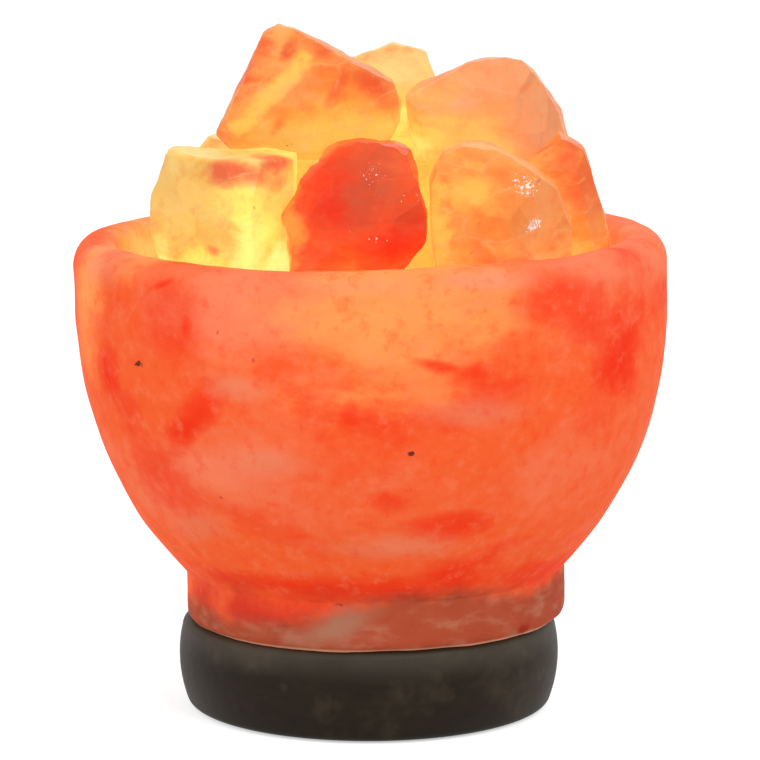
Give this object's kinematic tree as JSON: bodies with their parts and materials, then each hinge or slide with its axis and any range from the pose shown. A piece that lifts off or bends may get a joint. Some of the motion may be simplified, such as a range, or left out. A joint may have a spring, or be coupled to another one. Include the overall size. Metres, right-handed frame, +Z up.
{
  "type": "salt crystal lamp",
  "caption": "Table lamp: a carved rock-salt bowl on a round wooden base, heaped with loose salt crystals that a small screw-in bulb lights from inside.",
  "frame": {"origin": "on the table, under the middle of the round wooden base", "axes": "+Z up, -Y the front that the picture shows, +Y the back, where the lead's groove leaves the base"},
  "size_m": [0.1524, 0.1522, 0.1759],
  "materials": {
    "bowl_salt": "carved rock salt, satin and waxy, lit from inside",
    "amber_salt": "rough broken rock salt, translucent amber, lit from below",
    "pale_salt": "clear pale rock salt, rounded by handling, lit from below",
    "red_salt": "deep red rock salt with frosted faces, lit from below",
    "pink_salt": "cloudy pink rock salt with sugary broken faces",
    "dark_wood": "dark stain under satin lacquer",
    "pad_rubber": "matt black",
    "screw_steel": "bright zinc plate",
    "plate_steel": "zinc plate",
    "spring_steel": "drawn spring wire",
    "bush_plastic": "matt black",
    "holder_plastic": "moulded black phenolic",
    "socket_brass": "pressed brass",
    "cap_nickel": "nickel plate",
    "cap_glass": "black glass",
    "solder": "dull solder",
    "clear_glass": "clear blown glass",
    "lead_wire": "drawn nickel wire",
    "filament_wire": "glowing tungsten coil"
  },
  "bodies": {
    "lamp_base": {"wooden_base": "dark_wood", "foot_pad_1": "pad_rubber", "foot_pad_2": "pad_rubber", "foot_pad_3": "pad_rubber", "foot_pad_4": "pad_rubber", "base_screws": "screw_steel", "salt_bowl": "bowl_salt"},
    "lamp_holder": {"clip_plate": "plate_steel", "threaded_nipple": "plate_steel", "nipple_nut": "plate_steel", "cord_bush": "bush_plastic", "holder_cap": "holder_plastic", "holder_body": "holder_plastic", "screw_shell": "socket_brass", "centre_contact": "socket_brass", "terminal_screws": "socket_brass"},
    "wing_left": {"clip_wing_left": "spring_steel"},
    "wing_right": {"clip_wing_right": "spring_steel"},
    "bulb_cap": {"bulb_cap": "cap_nickel", "bulb_cap_insulator": "cap_glass", "bulb_contact": "solder"},
    "bulb_glass": {"bulb_glass": "clear_glass", "bulb_stem": "clear_glass", "bulb_lead_wires": "lead_wire", "bulb_filament": "filament_wire"},
    "bedding_back": {"bedding_back": "pale_salt"},
    "bedding_back_left": {"bedding_back_left": "pale_salt"},
    "bedding_back_right": {"bedding_back_right": "pink_salt"},
    "bedding_front": {"bedding_front": "red_salt"},
    "bedding_front_left": {"bedding_front_left": "pale_salt"},
    "bedding_front_right": {"bedding_front_right": "amber_salt"},
    "bedding_left": {"bedding_left": "amber_salt"},
    "bedding_right": {"bedding_right": "amber_salt"},
    "crystal_back": {"crystal_back": "pale_salt"},
    "crystal_back_left": {"crystal_back_left": "pale_salt"},
    "crystal_back_right": {"crystal_back_right": "pink_salt"},
    "crystal_front_left": {"crystal_front_left": "pale_salt"},
    "crystal_front_red": {"crystal_front_red": "red_salt"},
    "crystal_front_right": {"crystal_front_right": "amber_salt"},
    "crystal_right": {"crystal_right": "amber_salt"},
    "crystal_top_left": {"crystal_top_left": "amber_salt"},
    "crystal_top_right": {"crystal_top_right": "pink_salt"},
    "prop_back": {"prop_back": "pale_salt"},
    "prop_left": {"prop_left": "amber_salt"},
    "prop_right": {"prop_right": "amber_salt"}
  },
  "joints": [
    {"name": "holder_slide", "type": "slide", "parent": "lamp_base", "child": "lamp_holder", "axis": [0, 0, 1], "range_m": [-0.095, 0]},
    {"name": "wing_left_squeeze", "type": "hinge", "parent": "lamp_holder", "child": "wing_left", "pos_m": [-0.0152, 0, 0.0176], "axis": [0, 1, 0], "range_deg": [0, 10], "stiffness_Nm_per_rad": 0.3, "springref_deg": -5.73},
    {"name": "wing_right_squeeze", "type": "hinge", "parent": "lamp_holder", "child": "wing_right", "pos_m": [0.0152, 0, 0.0176], "axis": [0, -1, 0], "range_deg": [0, 10], "stiffness_Nm_per_rad": 0.3, "springref_deg": -5.73},
    {"name": "bulb_rise", "type": "slide", "parent": "lamp_holder", "child": "bulb_cap", "axis": [0, 0, 1], "range_m": [0, 0.0128]},
    {"name": "bulb_turn", "type": "hinge", "parent": "bulb_cap", "child": "bulb_glass", "pos_m": [0, 0, 0.045], "axis": [0, 0, 1], "range_deg": [0, 1800]},
    {"name": "bedding_back_lift", "type": "slide", "parent": "lamp_base", "child": "bedding_back", "axis": [0, 0, 1], "range_m": [0, 0.13]},
    {"name": "bedding_back_left_lift", "type": "slide", "parent": "lamp_base", "child": "bedding_back_left", "axis": [0, 0, 1], "range_m": [0, 0.13]},
    {"name": "bedding_back_right_lift", "type": "slide", "parent": "lamp_base", "child": "bedding_back_right", "axis": [0, 0, 1], "range_m": [0, 0.13]},
    {"name": "bedding_front_lift", "type": "slide", "parent": "lamp_base", "child": "bedding_front", "axis": [0, 0, 1], "range_m": [0, 0.13]},
    {"name": "bedding_front_left_lift", "type": "slide", "parent": "lamp_base", "child": "bedding_front_left", "axis": [0, 0, 1], "range_m": [0, 0.13]},
    {"name": "bedding_front_right_lift", "type": "slide", "parent": "lamp_base", "child": "bedding_front_right", "axis": [0, 0, 1], "range_m": [0, 0.13]},
    {"name": "bedding_left_lift", "type": "slide", "parent": "lamp_base", "child": "bedding_left", "axis": [0, 0, 1], "range_m": [0, 0.13]},
    {"name": "bedding_right_lift", "type": "slide", "parent": "lamp_base", "child": "bedding_right", "axis": [0, 0, 1], "range_m": [0, 0.13]},
    {"name": "crystal_back_lift", "type": "slide", "parent": "prop_back", "child": "crystal_back", "axis": [0, 0, 1], "range_m": [0, 0.045]},
    {"name": "crystal_back_left_lift", "type": "slide", "parent": "bedding_back_left", "child": "crystal_back_left", "axis": [0, 0, 1], "range_m": [0, 0.075]},
    {"name": "crystal_back_right_lift", "type": "slide", "parent": "bedding_back_right", "child": "crystal_back_right", "axis": [0, 0, 1], "range_m": [0, 0.075]},
    {"name": "crystal_front_left_lift", "type": "slide", "parent": "bedding_front_left", "child": "crystal_front_left", "axis": [0, 0, 1], "range_m": [0, 0.075]},
    {"name": "crystal_front_red_lift", "type": "slide", "parent": "bedding_front", "child": "crystal_front_red", "axis": [0, 0, 1], "range_m": [0, 0.075]},
    {"name": "crystal_front_right_lift", "type": "slide", "parent": "bedding_front_right", "child": "crystal_front_right", "axis": [0, 0, 1], "range_m": [0, 0.075]},
    {"name": "crystal_right_lift", "type": "slide", "parent": "bedding_right", "child": "crystal_right", "axis": [0, 0, 1], "range_m": [0, 0.075]},
    {"name": "crystal_top_left_lift", "type": "slide", "parent": "prop_left", "child": "crystal_top_left", "axis": [0, 0, 1], "range_m": [0, 0.04]},
    {"name": "crystal_top_right_lift", "type": "slide", "parent": "prop_right", "child": "crystal_top_right", "axis": [0, 0, 1], "range_m": [0, 0.04]},
    {"name": "prop_back_lift", "type": "slide", "parent": "bedding_back", "child": "prop_back", "axis": [0, 0, 1], "range_m": [0, 0.075]},
    {"name": "prop_left_lift", "type": "slide", "parent": "bedding_left", "child": "prop_left", "axis": [0, 0, 1], "range_m": [0, 0.075]},
    {"name": "prop_right_lift", "type": "slide", "parent": "bedding_right", "child": "prop_right", "axis": [0, 0, 1], "range_m": [0, 0.075]}
  ],
  "couplings": [
    {"joint": "bulb_rise", "follows": "bulb_turn", "m_per_rad": 0.00040425}
  ]
}
